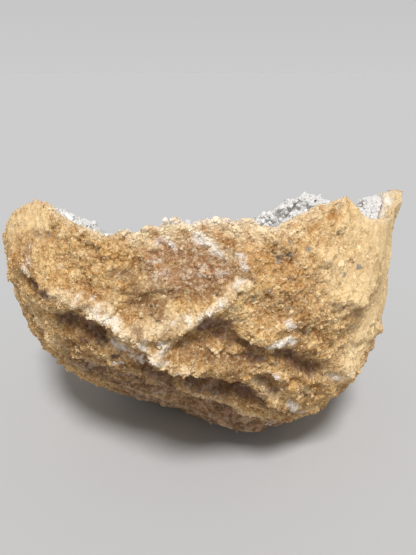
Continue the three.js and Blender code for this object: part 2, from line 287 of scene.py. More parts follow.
def streaks(points, heading, size, salt):
    """Noise from -1 to 1 drawn out along a heading to six times its size."""
    along = np.array(heading) / np.linalg.norm(heading)
    shortened = points - (points @ along)[..., None] * along * 5 / 6
    return smooth_noise(shortened, size, salt)


# ---- Shape of the rock ----
def direction(lon, lat):
    lon = np.radians(lon)
    lat = np.radians(lat)
    parts = [np.cos(lat) * np.sin(lon), -np.cos(lat) * np.cos(lon), np.sin(lat)]
    return np.stack(np.broadcast_arrays(*parts), axis=-1)


def bell(distance, width):
    return np.exp(-((distance / width) ** 2))


def lump_heights(lumps, heading):
    total = np.zeros(heading.shape[:-1])
    for lon, lat, width, height in lumps:
        angle = np.degrees(np.arccos(np.clip(heading @ direction(lon, lat), -1, 1)))
        total += height * bell(angle, width)
    return total


def form_radius(lon, lat):
    """Distance from the centre to the general form, without ledges or lumps."""
    heading = direction(lon, lat)
    total = np.full(heading.shape[:-1], STONE_RADIUS**-FLAT_SHARPNESS)
    for flat_lon, flat_lat, distance in FLATS:
        facing = np.maximum(heading @ direction(flat_lon, flat_lat), 0)
        total += (facing / distance) ** FLAT_SHARPNESS
    return total ** (-1 / FLAT_SHARPNESS) + lump_heights(SWELLINGS, heading)


def place_by_path(path, lon, lat):
    """Angle from each direction to the nearest place on a path, and whether it is to the left."""
    squeeze = np.cos(np.radians(lat))
    nearest = np.full(np.broadcast(lon, lat).shape, np.inf)
    left = np.zeros(nearest.shape, bool)
    for start, end in zip(path, path[1:]):
        start_x = ((start[0] - lon + 180) % 360 - 180) * squeeze
        start_y = start[1] - lat
        run_x = ((end[0] - start[0] + 180) % 360 - 180) * squeeze
        run_y = end[1] - start[1]
        length = run_x**2 + run_y**2
        share = np.clip(-(start_x * run_x + start_y * run_y) / length, 0, 1)
        angle = np.hypot(start_x + share * run_x, start_y + share * run_y)
        left = np.where(angle < nearest, run_y * start_x > run_x * start_y, left)
        nearest = np.minimum(nearest, angle)
    return nearest, left


def angle_to_path(path, lon, lat):
    return place_by_path(path, lon, lat)[0]


def path_heights(paths, lon, lat):
    total = np.zeros(np.broadcast(lon, lat).shape)
    for path, width, height in paths:
        total += height * bell(angle_to_path(path, lon, lat), width)
    return total


def lip_heights(lon, lat):
    total = np.zeros(np.broadcast(lon, lat).shape)
    for path, left_width, right_width, height in LIPS:
        angle, left = place_by_path(path, lon, lat)
        total += height * bell(angle, np.where(left, left_width, right_width))
    return total


def wave_heights(lon, lat):
    heading = direction(lon, lat)
    total = np.zeros(heading.shape[:-1])
    for along, start, height in WAVES:
        total += height * np.sin(heading @ np.array(along) + start)
    return total


def coarse_radius(lon, lat):
    """The outside as the CAD part has it."""
    radius = form_radius(lon, lat) + lump_heights(LUMPS, direction(lon, lat))
    radius = radius + path_heights(LEDGES, lon, lat) + path_heights(GROOVES, lon, lat)
    return radius + wave_heights(lon, lat)


def lining_radius(lon, lat):
    return form_radius(lon, lat) - RIND_THICKNESS


def crust_radius(lon, lat):
    return lining_radius(lon, lat) - CRUST_GAP


def bed_radius(lon, lat):
    return crust_radius(lon, lat) - CRUST_THICKNESS


def rim_heights(lon):
    """Heights of the rock's and the crust's edges over the centre of the hollow."""
    lons, rock, crust = np.array(RIM, float).T
    return np.interp(lon, lons, rock), np.interp(lon, lons, crust)


def latitude_at(radius_at, lon, height):
    """Latitude at which a surface reaches a height over the centre, on each meridian."""
    lat = np.zeros_like(lon)
    for _ in range(14):
        lat = np.degrees(np.arcsin(np.clip(height / radius_at(lon, lat), -1, 1)))
    return lat


def placed(lon, lat, radius):
    """Points in millimetres over the table, held level with the foot."""
    points = direction(lon, lat) * np.asarray(radius)[..., None]
    points[..., 2] = np.maximum(points[..., 2] + CENTRE_HEIGHT, 0)
    return points


# ---- Fine relief of the rock, in millimetres ----
DOWN_RIGHT = (0.8, 0.0, -0.6)
ACROSS_LEDGE = (0.55, 0.0, 0.84)
# The right side, the left horn and the smooth quartz of the spall: points, width, strength.
WORN_PLACES = [
    ([(78, 10), (54, 12), (56, -6), (76, -8)], 15, 1),
    ([(-46, 15), (-58, 12)], 7, 0.8),
    ([(-6, 6.4), (-1.5, 6.6)], 2.0, 0.9),
]
LAYERED_PLACE = [(16, 13), (24, 4), (22, -16), (30, -26)]
LAYERED_WIDTH = 9
# The two main ledges, whose layers are fibrous: points, width, strength.
FIBROUS_LEDGES = [
    ([(-28, 0), (-20, -1.5), (-15, -4), (-10, -9), (-5, -13)], 3.4, 1.0),
    ([(-12, -3.5), (-4, -3), (0, -0.5), (4, 2), (8, 5)], 2.4, 0.8),
]
WAVINESS = 0.34
RELIEF_SINK = 0.4
STRATA_HEIGHT = 0.4
FIBRE_HEIGHT = 0.5
GRAININESS = 0.1
# Layers that the worn places have less of: pattern, size, salt of its noise, height, and the
# pattern's value that counts as level.
CRUMBLY_LAYERS = [
    (chips, 4.6, 21, 0.5, 0),
    (creases, 3.0, 31, 0.55, 0.3),
    (chips, 2.0, 41, 0.36, 0),
    (domes, 1.3, 61, 0.34, 0.4),
]


def bent(lon, lat, points):
    """Directions pushed about a little, which makes lips and borders ragged."""
    lon = lon + 0.6 * layered_noise(points, 5.0, 3, 91)
    lat = lat + 0.5 * layered_noise(points, 4.0, 3, 95)
    return lon, lat


def zone_share(zone, lon, lat):
    """Share from 0 to 1 of a zone made of paths, each with its angular width and strength."""
    share = np.zeros(np.broadcast(lon, lat).shape)
    for path, width, strength in zone:
        share = np.maximum(share, strength * bell(angle_to_path(path, lon, lat), width))
    return share


def crumbliness(lon, lat):
    """How crumbly the rock is: 1 where it is freshly broken, less in the worn places."""
    return 1 - 0.75 * zone_share(WORN_PLACES, lon, lat)


def strata(lon, lat, points):
    """Thin slanting layers, from -1 to 1, that show down the right of the front."""
    shown = bell(angle_to_path(LAYERED_PLACE, lon, lat), LAYERED_WIDTH)
    return shown * streaks(points, DOWN_RIGHT, 1.3, 141)


def fibres(lon, lat, points):
    """Thin fibres, from -1 to 1, that run across the two main ledges."""
    shown = np.minimum(path_heights(FIBROUS_LEDGES, lon, lat), 1)
    return shown * streaks(points, ACROSS_LEDGE, 1.1, 151)


def fine_relief(lon, lat, points):
    crumbly = crumbliness(lon, lat)
    relief = WAVINESS * layered_noise(points, 7.0, 3, 11) - RELIEF_SINK
    for pattern, size, salt, height, level in CRUMBLY_LAYERS:
        relief += height * crumbly * (pattern(points, size, salt) - level)
    relief += STRATA_HEIGHT * crumbly * strata(lon, lat, points)
    relief += FIBRE_HEIGHT * fibres(lon, lat, points)
    return relief + GRAININESS * smooth_noise(points, 0.7, 81)


def rough_radius(lon, lat):
    """The outside with its lips and fine relief, and how high the fine relief stands.

    The relief is lower where it would cut deeper than the rock's least thickness.
    """
    points = placed(lon, lat, coarse_radius(lon, lat))
    bent_lon, bent_lat = bent(lon, lat, points)
    radius = coarse_radius(bent_lon, bent_lat) + lip_heights(bent_lon, bent_lat)
    relief = fine_relief(lon, lat, points)
    deepest = lining_radius(lon, lat) + THINNEST_RIND
    return np.maximum(radius + relief, deepest + 0.3 * relief), relief


# ---- Meshes ----
def grid_faces(columns, rows):
    """Quads of a ring of columns whose point (column, row) has the number column*rows + row."""
    column = np.arange(columns)[:, None]
    row = np.arange(rows - 1)[None]
    here = column * rows + row
    beside = ((column + 1) % columns) * rows + row
    return np.stack([here, beside, beside + 1, here + 1], axis=-1).reshape(-1, 4)


def mesh_object(name, points, faces, material, smooth):
    """A mesh object on the CAD's only body, from points in millimetres."""
    mesh = bpy.data.meshes.new(name)
    mesh.from_pydata((np.asarray(points) * MM).tolist(), [], faces)
    mesh.polygons.foreach_set("use_smooth", np.full(len(mesh.polygons), smooth))
    mesh.materials.append(material)
    made = bpy.data.objects.new(name, mesh)
    bpy.context.scene.collection.objects.link(made)
    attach(made, "root")
    return made


def add_masks(made, masks):
    """Writes each mask, a number from 0 to 1 for each point, as an attribute of the mesh."""
    for name, values in masks.items():
        layer = made.data.attributes.new(name, "FLOAT", "POINT")
        layer.data.foreach_set("value", np.clip(np.ravel(values), 0, 1).astype(np.float32))


def closed_bowl(grid):
    """Faces of a closed bowl: its ring of columns with a cap at each end."""
    columns, rows = grid.shape[:2]
    faces = grid_faces(columns, rows).tolist()
    first_row = [column * rows for column in range(columns)]
    faces.append(first_row[::-1])
    faces.append([number + rows - 1 for number in first_row])
    return faces


def surface_frame(grid):
    """Outward normals and the area around each point of a ring of columns."""
    around = (np.roll(grid, -1, axis=0) - np.roll(grid, 1, axis=0)) / 2
    upward = np.gradient(grid, axis=1)
    normals = np.cross(around, upward)
    areas = np.linalg.norm(normals, axis=-1)
    return normals / np.maximum(areas, 1e-9)[..., None], areas


# ---- Colour zones of the rock: points, angular width, strength ----
# Their order here picks the noise of their borders, and ZONE_SHARES has the order of painting.
ZONES = {}
ZONES["cream"] = [
    ([(-47, 18.5), (-43, 17), (-40, 15.5)], 4.0, 0.2),
    ([(-31, 1), (-27, 0.5), (-23, -0.5), (-19, -2), (-16, -4), (-13, -7), (-10, -9.5)], 2.0, 0.7),
    ([(-10, -9.5), (-7, -12), (-3.5, -15), (0, -17)], 1.3, 0.7),
    ([(-14, -4.2), (-10, -3.5), (-6, -2), (-2, -1.8)], 1.9, 0.8),
    ([(-8, -4.2), (-3, -3.6), (0, -1)], 1.4, 0.55),
    ([(0.5, 0), (2.5, 1.8), (5.5, 4), (7, 5.5)], 1.4, 0.7),
    ([(7, 5.5), (8, 7), (9.5, 6.5)], 1.3, 0.85),
    ([(5, 2.5), (6.5, 0.5), (8.5, -2)], 0.9, 0.6),
    ([(13.5, 1.5), (17, 1)], 2.6, 0.3),
    ([(-14, 16.5), (-5, 17.3), (0, 17.8), (6, 18.3), (13, 17)], 3.2, 1.1),
    ([(17, 15.5), (22, 17), (28, 19.5)], 1.4, 0.6),
    ([(-8, 15), (-3, 15.5), (2, 15), (5, 13)], 2.2, 0.8),
    ([(-52, -12), (-47, -16), (-42, -18)], 3.6, 0.5),
    ([(86, 26), (84, 12)], 8.0, 0.6),
    ([(6, -30), (11, -36), (16, -39), (23, -41)], 2.0, 0.45),
    ([(13, -19), (18, -25), (22, -28)], 1.2, 0.5),
    ([(44, -16), (40, -21)], 4.0, 0.4),
    (RIGHT_LEDGE, 3.0, 0.5),
    (LEFT_LEDGE, 3.0, 0.5),
    ([(172, -20), (-176, -23), (-166, -31)], 3.0, 0.5),
]
# Recesses: partly the rock's own dark purple-brown, partly painted shade in the grooves and under the
# ledges.
ZONES["recess_brown_and_shade"] = [
    ([(-36.5, -7), (-34, -7.5)], 1.8, 0.9),
    ([(-33, -6.5), (-28.5, -7.5), (-26, -8.5), (-24, -10)], 2.5, 1.0),
    ([(-26, -5), (-22, -6.5), (-18, -9.5)], 1.5, 0.7),
    ([(-30, -11.5), (-28.5, -10)], 1.8, 0.7),
    ([(-15.5, -8.5), (-13.5, -9.5), (-10.5, -12.5)], 1.3, 0.5),
    ([(-22.5, -15), (-21, -15)], 1.1, 0.8),
    ([(-15, -18.5), (-13, -20), (-9, -20.5), (-6, -20)], 1.8, 0.8),
    ([(-14, -19.5), (-12, -22), (-9, -22), (-8, -24)], 2.0, 0.8),
    ([(-9, -13.5), (-6.5, -14.8)], 1.1, 0.9),
    ([(-13, -23), (-9, -26), (-4, -28)], 3.0, 0.6),
    ([(-43, 1), (-41, -1)], 1.6, 0.5),
    ([(-35, 1), (-33, 1)], 1.2, 0.8),
    ([(-43, -7.5), (-42, -8)], 1.3, 0.7),
    ([(-39, -26), (-35, -28)], 2.4, 0.6),
    ([(0.8, -3.4), (3, -3.6), (5, -3.6)], 2.1, 1.0),
    ([(4.5, -4), (6.5, -7.5)], 1.4, 0.9),
    ([(3.5, -5.8), (6, -7), (9, -8)], 1.1, 0.9),
    ([(9, -7.5), (12, -9.5), (15, -10)], 1.4, 0.75),
    ([(10.5, -11.8), (14.5, -13)], 1.5, 1.0),
    ([(19.5, -12), (23, -15), (27, -18), (31, -20.5)], 2.0, 0.8),
    ([(-3, -20.5), (1, -22), (4.5, -23.5), (8.5, -25.5), (12.5, -27), (15, -27.5)], 3.0, 1.0),
    ([(15, -20), (17.5, -22), (20, -25)], 1.9, 0.7),
    ([(18, -29.5), (22, -32), (27, -35), (32, -37)], 2.2, 0.6),
    ([(27.5, -25), (31, -29)], 1.6, 0.4),
    ([(4, -37), (9, -40)], 2.6, 0.35),
    ([(12, -47), (18, -50)], 3.0, 0.35),
    (RIGHT_GROOVE, 2.2, 0.45),
    (LEFT_GROOVE, 2.2, 0.45),
]
ZONES["shade"] = [
    ([(-42, 13.5), (-39, 13)], 1.8, 0.6),
    ([(-43, 2), (-41, -2)], 2.6, 0.8),
    ([(-36, 2), (-33, 0.5)], 1.8, 0.7),
    ([(-21, -11.5), (-18, -14), (-14, -16)], 1.8, 0.25),
    ([(-36, -14), (-32, -19), (-25, -20), (-17, -22)], 4.0, 0.5),
    ([(-19, 8), (-15, 7.5)], 0.9, 0.9),
    ([(-13.5, 2.5), (-11, 1), (-8, 0)], 2.0, 1.0),
    ([(-15, 1.5), (-13, 2.5), (-11, 3.5), (-8.5, 1.5), (-7, 2)], 1.1, 1.0),
    ([(-13, 10.5), (-10.5, 8.5), (-8, 4.5), (0, 4), (3, 5.5)], 1.6, 0.7),
    ([(-15, 7.5), (-13, 4.5)], 1.6, 0.8),
    ([(-11, 4.5), (-8.5, 5), (-6, 3.5)], 1.2, 0.9),
    ([(-13, -3.8), (-10.5, -5)], 1.0, 0.8),
    ([(-6, -8), (0, -9), (4, -11), (8, -13.5)], 3.4, 0.65),
    ([(11, 4), (15, 3), (19, 1.5), (21.5, -1)], 1.4, 0.25),
    ([(22, -3), (24, -7)], 1.8, 0.5),
    ([(6.5, 14.5), (8, 13)], 1.4, 0.9),
    ([(9, 8), (11, 7.3)], 1.2, 1.0),
    ([(7.8, 4.6), (10, 4.4)], 0.9, 0.6),
    ([(16.5, 13.5), (20, 11)], 1.6, 0.6),
    ([(29.5, -1), (34.5, -2.3)], 1.3, 0.6),
    ([(36.5, -3.5), (39.5, -6)], 1.6, 0.6),
    ([(38, -9.5), (40.5, -10.5)], 1.6, 0.5),
    ([(30, -20.5), (35, -22.5)], 1.8, 0.5),
    ([(150, -4), (165, -12)], 8.0, 0.5),
    ([(-72, -16), (-84, -22)], 8.0, 0.5),
]
ZONES["rust"] = [
    ([(-28, 3.5), (-24, 3.5), (-20, 3.5)], 2.0, 0.6),
    ([(-36, 14), (-33, 13)], 1.6, 0.5),
    ([(-45, -9), (-42, -10)], 1.6, 0.5),
    ([(-10.3, 16.8), (-9.5, 16)], 0.9, 0.9),
    ([(-8.8, 15), (-8, 14)], 0.9, 0.8),
    ([(-4.5, 16.8), (-2.5, 16.7)], 0.9, 1.0),
    ([(1, 17.8), (1.6, 17.8)], 0.8, 0.9),
    ([(3.5, 16.5), (5, 16), (6.5, 15.3)], 1.0, 1.0),
    ([(5.5, 19), (6, 19)], 0.7, 0.8),
    ([(-10, 10), (-9, 10.2)], 0.9, 0.8),
    ([(31, 18.8), (32.5, 18)], 1.3, 0.85),
    ([(11, 12), (16, 9), (22, 6)], 3.6, 0.5),
    ([(12, 16), (20, 15)], 2.6, 0.3),
    ([(120, -4), (136, -8)], 8.0, 0.5),
    ([(-110, -6), (-96, -2)], 8.0, 0.5),
]
ZONES["pink"] = [
    ([(-9, 12), (-3, 12.5), (3, 12)], 3.2, 0.85),
    ([(-9, 8), (0, 8), (5, 9.5)], 3.2, 0.9),
    ([(-5.5, 5.8), (-2.5, 6.8), (1, 6)], 1.4, 1.0),
    ([(-4.5, 8), (-4, 7)], 0.9, 1.0),
    ([(-5.5, 13), (-3, 11.5), (0, 10)], 1.5, 1.0),
    ([(-43, 9), (-41, 7)], 1.8, 0.6),
    ([(-17.5, -15.8), (-14, -17)], 1.3, 0.7),
    ([(-1.5, -24.6), (4.5, -27.5)], 1.0, 0.7),
    ([(26, -45), (31, -46)], 2.0, 0.7),
]
ZONES["white"] = [
    ([(17.5, -3), (20, -4.5)], 1.2, 1.0),
    ([(15.5, -7.8), (20.5, -8)], 1.1, 1.0),
    ([(17, -17.5), (18.5, -18)], 0.9, 0.7),
    ([(26, -30), (28.5, -33)], 1.2, 0.75),
    ([(30, -36), (34, -38)], 1.4, 0.5),
    ([(26, -46.5), (29, -47.5)], 1.1, 0.9),
    ([(36, -23.5), (38.5, -24), (41, -23)], 1.6, 0.5),
    ([(-9, 19), (-5, 19.5), (1.5, 19.5), (6, 19.5)], 0.8, 0.7),
    ([(33.5, 20), (34.2, 19)], 0.9, 0.6),
    ([(-1, 15.8), (1, 15), (3.5, 13.5)], 1.4, 0.9),
    ([(-9.5, 15), (-7.5, 15), (-6, 14)], 1.1, 0.7),
    ([(-10, 9), (-8, 8.6)], 0.7, 0.35),
    ([(-11.3, 6.5), (-9, 6.2)], 0.8, 0.3),
    ([(-10, 11.5), (-8.5, 10.5)], 0.8, 0.35),
    ([(-4.7, 9.8), (-3, 9.5)], 0.7, 0.5),
    ([(-2.5, 8.7), (0, 7.6)], 0.7, 0.6),
    ([(2.5, 8.5), (5, 9.5)], 0.9, 0.35),
    ([(8, 11), (9.5, 9.8)], 1.0, 0.9),
    ([(8.3, 12.6), (9, 12.6)], 0.8, 0.9),
    ([(-22, -1), (-19, -2), (-17, -3)], 1.2, 0.7),
    ([(-16, -4), (-14, -5)], 1.0, 0.4),
    ([(-12, -7.5), (-9, -10), (-7.3, -11.3)], 0.9, 0.7),
    ([(-8.6, -6.5), (-7.5, -7.3)], 0.8, 1.0),
    ([(-7, -2.2), (-5, -2), (-3, -1.8)], 1.1, 0.5),
    ([(0, -0.6), (1.5, 1)], 1.2, 0.6),
    ([(3, 2.6), (5, 3.8)], 0.9, 0.5),
    ([(7, 6), (8, 7.2), (9.5, 6.6)], 0.8, 0.55),
    ([(-42.5, 8.5), (-41, 7)], 1.8, 0.45),
    ([(-44, 4.5), (-42, 4.5)], 1.4, 0.5),
    ([(-32.5, 8.5), (-31.5, 6)], 0.9, 0.3),
    ([(-22.5, -17.5), (-21, -17.7)], 0.9, 0.7),
    ([(-21, -11.5), (-18.5, -13.5), (-16, -15.5)], 1.9, 0.75),
    ([(150, -4), (156, -8)], 3.0, 0.7),
    ([(-100, 0), (-96, -3)], 3.0, 0.6),
]
ZONES["pale"] = [
    ([(36, 6), (48, 12), (62, 6), (62, -8), (48, -14)], 12.0, 1.1),
    ([(-52, 12), (-46, 16), (-41, 15)], 5.0, 0.7),
    ([(-50, -6), (-44, -13)], 5.0, 0.5),
    ([(160, -2), (-170, -6)], 14.0, 0.7),
    ([(-64, 0), (-70, -12)], 8.0, 0.5),
]
# Umber: the lower part of the stone darker, partly its own grey-brown and partly painted shade of the
# underside.
ZONES["umber_and_underside_shade"] = [
    ([(-6, -34), (4, -38), (10, -44), (20, -48), (30, -52)], 5.5, 1.0),
    ([(-42, -24), (-30, -28), (-18, -32), (-8, -33)], 5.5, 0.85),
    ([(-45, -33), (-34, -38), (-22, -42), (-8, -44)], 8.0, 0.9),
    ([(0, -54), (40, -64), (-40, -58)], 14.0, 0.9),
    ([(90, -70), (180, -70), (-90, -70)], 22.0, 0.6),
]
ZONES["specks"] = [
    ([(17, 11), (20, 13)], 1.6, 0.8),
    ([(18, 8), (20, 8)], 1.4, 1.0),
    ([(22, 9), (23, 12.3)], 1.6, 1.0),
    ([(27.5, 12.5), (29, 12.5)], 1.6, 1.0),
    ([(27.5, 7.5), (29, 7)], 1.8, 1.0),
    ([(32, 4), (35, 6.5), (38, 6)], 2.0, 0.9),
    ([(12, 4), (20, 1)], 2.4, 0.6),
    ([(4.5, -6.5), (7, -7.5)], 1.3, 1.0),
    ([(17.5, -13.3), (21, -15)], 1.4, 1.0),
    ([(0, -9), (5, -12)], 2.0, 0.5),
    ([(-42, 13.5), (-39, 13)], 1.6, 0.6),
    ([(130, -10), (150, -16)], 8.0, 0.6),
    ([(-140, -6), (-120, -4)], 8.0, 0.6),
]


# How a zone's share becomes a mask: steepness, raggedness, and the share that doesn't show.
SOFT_BORDER = 1.45, 1.0, 0.12
WHITE_BORDER = 2.4, 2.5, 0.28


def zone_masks(lon, lat, points):
    """The share of each colour zone at each point, with ragged borders."""
    lon, lat = bent(lon, lat, points)
    lon = lon + 0.7 * layered_noise(points, 1.4, 2, 201)
    lat = lat + 0.7 * layered_noise(points, 1.4, 2, 205)
    masks = {}
    thread = fibres(lon, lat, points)
    for salt, (name, zone) in enumerate(ZONES.items()):
        share = zone_share(zone, lon, lat)
        noise = 0.3 * layered_noise(points, 1.2, 2, 211 + 3 * salt)
        steepness, raggedness, hidden = WHITE_BORDER if name == "white" else SOFT_BORDER
        masks[name] = np.clip(steepness * (share + raggedness * noise * share - hidden), 0, 1)
    masks["cream"] = np.maximum(masks["cream"], np.clip(1.8 * thread, 0, 0.75))
    masks["white"] = np.maximum(masks["white"], np.clip(1.6 * thread - 0.3, 0, 0.65))
    masks["shade"] = np.maximum(masks["shade"], np.clip(-1.2 * thread - 0.15, 0, 0.6))
    return masks


# ---- Rock shell ----
# The fresh pale break under the rim: degrees down from the edge, and to each side of the front.
PALE_RIM_HEIGHT = 1.5
PALE_RIM_HALF_WIDTH = 15


def rind_longitudes():
    front = np.linspace(-FRONT_HALF_WIDTH, FRONT_HALF_WIDTH, FRONT_MERIDIANS, endpoint=False)
    back = np.linspace(FRONT_HALF_WIDTH, 360 - FRONT_HALF_WIDTH, BACK_MERIDIANS, endpoint=False)
    lon = np.concatenate([front, back])
    return np.where(lon >= 180, lon - 360, lon)


def tooth_heights(teeth, lon):
    return sum(height * bell(lon - at, width) for at, width, height in teeth)


def ragged_rim(lon):
    """The rim heights with the teeth of the break."""
    rock, crust = rim_heights(lon)
    around = direction(lon, np.zeros_like(lon)) * STONE_RADIUS
    ragged = 0.3 * layered_noise(around, 3.0, 3, 301) + 0.25 * chips(around, 2.4, 311)
    lumps = 0.5 * layered_noise(around, 4.0, 3, 321)
    rock = rock + tooth_heights(ROCK_TEETH, lon) + ragged - ROCK_EDGE_SINK
    return rock, crust + tooth_heights(CRUST_TEETH, lon) + lumps - CRUST_EDGE_SINK


def meridian_grid(radius_at, lon, top, shares):
    """Longitudes and latitudes of a grid that goes up to a height at the rim."""
    highest = latitude_at(radius_at, lon, top)
    lat = -90 + (highest[:, None] + 90) * shares[None]
    return np.repeat(lon[:, None], len(shares), axis=1), lat


def break_between(outer, inner, rows, roughness, salt):
    """Rows of a rough broken edge between the outer and the inner ring of a wall."""
    share = (np.arange(rows) + 1) / (rows + 1)
    points = outer[:, None] + (inner - outer)[:, None] * share[None, :, None]
    bulge = np.sin(np.pi * share)[None] ** 0.5
    rough = 0.4 + 0.6 * chips(points, 1.8, salt) + 0.5 * layered_noise(points, 1.5, 2, salt + 20)
    points[..., 2] += roughness * bulge * rough
    return points


def rind_grid():
    """Directions, relief and points of the outside, and points of the broken edge and lining."""
    lon = rind_longitudes()
    rock, crust = ragged_rim(lon)
    foot = np.linspace(0.02, FOOT_SHARE, FOOT_ROWS, endpoint=False)
    shares = np.concatenate([foot, np.linspace(FOOT_SHARE, 1, FACE_ROWS)])
    lons, lats = meridian_grid(coarse_radius, lon, rock, shares)
    radius, relief = rough_radius(lons, lats)
    outside = placed(lons, lats, radius)
    inner_edge = rock + BEVEL_ON_ROCK * (np.minimum(crust, rock + 1) - rock)
    deeper = np.linspace(1, 0.04, LINING_ROWS)
    lining_lons, lining_lats = meridian_grid(lining_radius, lon, inner_edge, deeper)
    lining = placed(lining_lons, lining_lats, lining_radius(lining_lons, lining_lats))
    edge = break_between(outside[:, -1], lining[:, 0], BREAK_ROWS, 0.5, 341)
    return lons, lats, relief, outside, edge, lining


def break_masks(inner, names):
    """Masks of the broken edge and the lining: cream rock outside, white quartz inside."""
    inward = (np.arange(inner.shape[1]) + 1) / inner.shape[1]
    ragged = inward[None] + 0.22 * layered_noise(inner, 1.6, 2, 361)
    masks = {name: np.zeros(inner.shape[:2]) for name in names}
    masks["cream"] = np.clip(0.4 + 0.6 * ragged, 0, 1)
    masks["white"] = np.clip(1.5 * (ragged - 0.2), 0, 1)
    # No painted gap shade on the broken edge: this amount is below what shows.
    masks["gap_shade"] = np.full(inner.shape[:2], 0.3)
    masks["crumble"] = np.full(inner.shape[:2], 0.5)
    return masks


def outside_masks(lons, lats, relief, outside):
    """Masks of the outside: its colour zones, painted shade in the gaps of its relief, and the fresh
    pale rim.
    """
    masks = zone_masks(lons, lats, outside)
    # Painted shade: the lower the relief, the darker its gaps.
    masks["gap_shade"] = np.clip(0.4 - 0.6 * relief, 0, 1)
    masks["crumble"] = crumbliness(lons, lats)
    under_rim = lats[:, -1:] - lats
    fresh = np.clip(1 - under_rim / PALE_RIM_HEIGHT, 0, 1)
    fresh = fresh * (0.3 + 0.7 * bell(lons, PALE_RIM_HALF_WIDTH))
    masks["cream"] = np.maximum(masks["cream"], fresh)
    masks["white"] = np.maximum(masks["white"], 0.5 * fresh)
    return masks


def build_rind(material):
    """The rock shell. Returns the ground of the grains: its points, masks and directions."""
    lons, lats, relief, outside, edge, lining = rind_grid()
    grid = np.concatenate([outside, edge, lining], axis=1)
    rind = mesh_object("rind_rock", grid.reshape(-1, 3), closed_bowl(grid), material, True)
    masks = outside_masks(lons, lats, relief, outside)
    broken = break_masks(np.concatenate([edge, lining], axis=1), masks)
    rind_masks = {k: np.concatenate([v, broken[k]], axis=1) for k, v in masks.items()}
    rind_masks["tint"] = np.full(grid.shape[:2], 0.5)
    add_masks(rind, rind_masks)
    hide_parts("rind")
    return outside, masks, lons, lats


# ---- Loose-looking grains that stand on the rock ----
GRAIN_SEED = 5
SIZE_SPREAD = 0.33
GRAIN_STRETCH = 0.6, 1.25
GRAIN_UNEVENNESS = 0.22
# How deep each grain sits in the rock, in shares of its size, and how far it strays.
GRAIN_DEPTH = 0.6
GRAIN_STRAY = 0.06
# Painted gap shade of each grain, always below the amount that shows.
GRAIN_GAP_SHADES = 0.1, 0.45
LOWEST_GRAIN_POINT = 0.05


def solid(points, side):
    """A template of a stone: points at radius 1, and a face on every three a side apart."""
    faces = []
    for trio in itertools.combinations(range(len(points)), 3):
        a, b, c = points[list(trio)]
        sides = [np.linalg.norm(a - b), np.linalg.norm(b - c), np.linalg.norm(c - a)]
        if max(sides) < 1.05 * side:
            outward = np.dot(np.cross(b - a, c - a), a + b + c) > 0
            faces.append(trio if outward else trio[::-1])
    return points / np.linalg.norm(points[0]), np.array(faces)


def octahedron():
    return solid(np.kron(np.eye(3), [[1], [-1]]), 2**0.5)


def icosahedron():
    golden = (1 + 5**0.5) / 2
    corners = [(0, a, b * golden) for a in (-1, 1) for b in (-1, 1)]
    return solid(np.array([np.roll(p, turn) for turn in range(3) for p in corners]), 2)


# Each mesh of grains: its name, the stone's template, how many there are, and their size.
GRAINS = [
    ("rock_grains", octahedron(), 24000, 0.27),
    ("rock_grit", octahedron(), 24000, 0.19),
    ("rock_crumbs", icosahedron(), 2600, 0.42),
]


def random_turns(random, count):
    """Rotation matrices that turn each of a number of things its own way."""
    quaternions = random.normal(size=(count, 4))
    w, x, y, z = (quaternions / np.linalg.norm(quaternions, axis=1, keepdims=True)).T
    rows = [
        [1 - 2 * (y * y + z * z), 2 * (x * y - z * w), 2 * (x * z + y * w)],
        [2 * (x * y + z * w), 1 - 2 * (x * x + z * z), 2 * (y * z - x * w)],
        [2 * (x * z - y * w), 2 * (y * z + x * w), 1 - 2 * (x * x + y * y)],
    ]
    return np.moveaxis(np.array(rows), -1, 0)


def scatter(name, template, spots, sizes, random, material, masks):
    """One mesh of many small stones, each its own stretch, turn and tint of a template."""
    points, faces = template
    count = len(spots)
    stretch = random.uniform(*GRAIN_STRETCH, size=(count, 1, 3))
    limits = -GRAIN_UNEVENNESS, GRAIN_UNEVENNESS
    uneven = random.uniform(*limits, size=(count, len(points), 3))
    shapes = (points[None] * stretch + uneven) * sizes[:, None, None]
    turned = np.einsum("nij,npj->npi", random_turns(random, count), shapes)
    placed_points = turned + spots[:, None]
    placed_points[..., 2] = np.maximum(placed_points[..., 2], LOWEST_GRAIN_POINT)
    numbers = faces[None] + np.arange(count)[:, None, None] * len(points)
    triangles = numbers.reshape(-1, 3).tolist()
    stones = mesh_object(name, placed_points.reshape(-1, 3), triangles, material, False)
    add_masks(stones, {k: np.repeat(v, len(points)) for k, v in masks.items()})


def grain_density(masks, lons, lats):
    """Where grains stand: thick on broken ledges and in the spalled patch, thin where worn."""
    broken = 0.6 + 0.5 * masks["cream"] + 0.5 * masks["pink"] + 0.4 * masks["white"]
    broken = broken * (1 - 0.75 * masks["recess_brown_and_shade"]) * (1 - 0.6 * masks["umber_and_underside_shade"])
    facing = np.where(np.abs(lons) < FRONT_HALF_WIDTH, 1.0, 0.5)
    return broken * facing * crumbliness(lons, lats) ** 2 * np.clip((lats + 62) / 12, 0, 1)


def build_grains(seed, kind, ground, material):
    """One mesh of grains of a kind, scattered over the ground that build_rind returns."""
    name, template, count, size = kind
    outside, masks, lons, lats = ground
    random = np.random.default_rng(seed)
    normals, areas = surface_frame(outside)
    weight = (areas * grain_density(masks, lons, lats)).ravel()
    chosen = random.choice(weight.size, size=count, replace=False, p=weight / weight.sum())
    sizes = size * np.exp(random.normal(0, SIZE_SPREAD, size=count))
    sunk = normals.reshape(-1, 3)[chosen] * sizes[:, None] * GRAIN_DEPTH
    spots = outside.reshape(-1, 3)[chosen] - sunk
    spots += GRAIN_STRAY * random.normal(size=spots.shape)
    stone_masks = {k: v.ravel()[chosen] for k, v in masks.items()}
    stone_masks["gap_shade"] = random.uniform(*GRAIN_GAP_SHADES, size=count)
    stone_masks["tint"] = random.uniform(0, 1, size=count)
    scatter(name, template, spots, sizes, random, material, stone_masks)


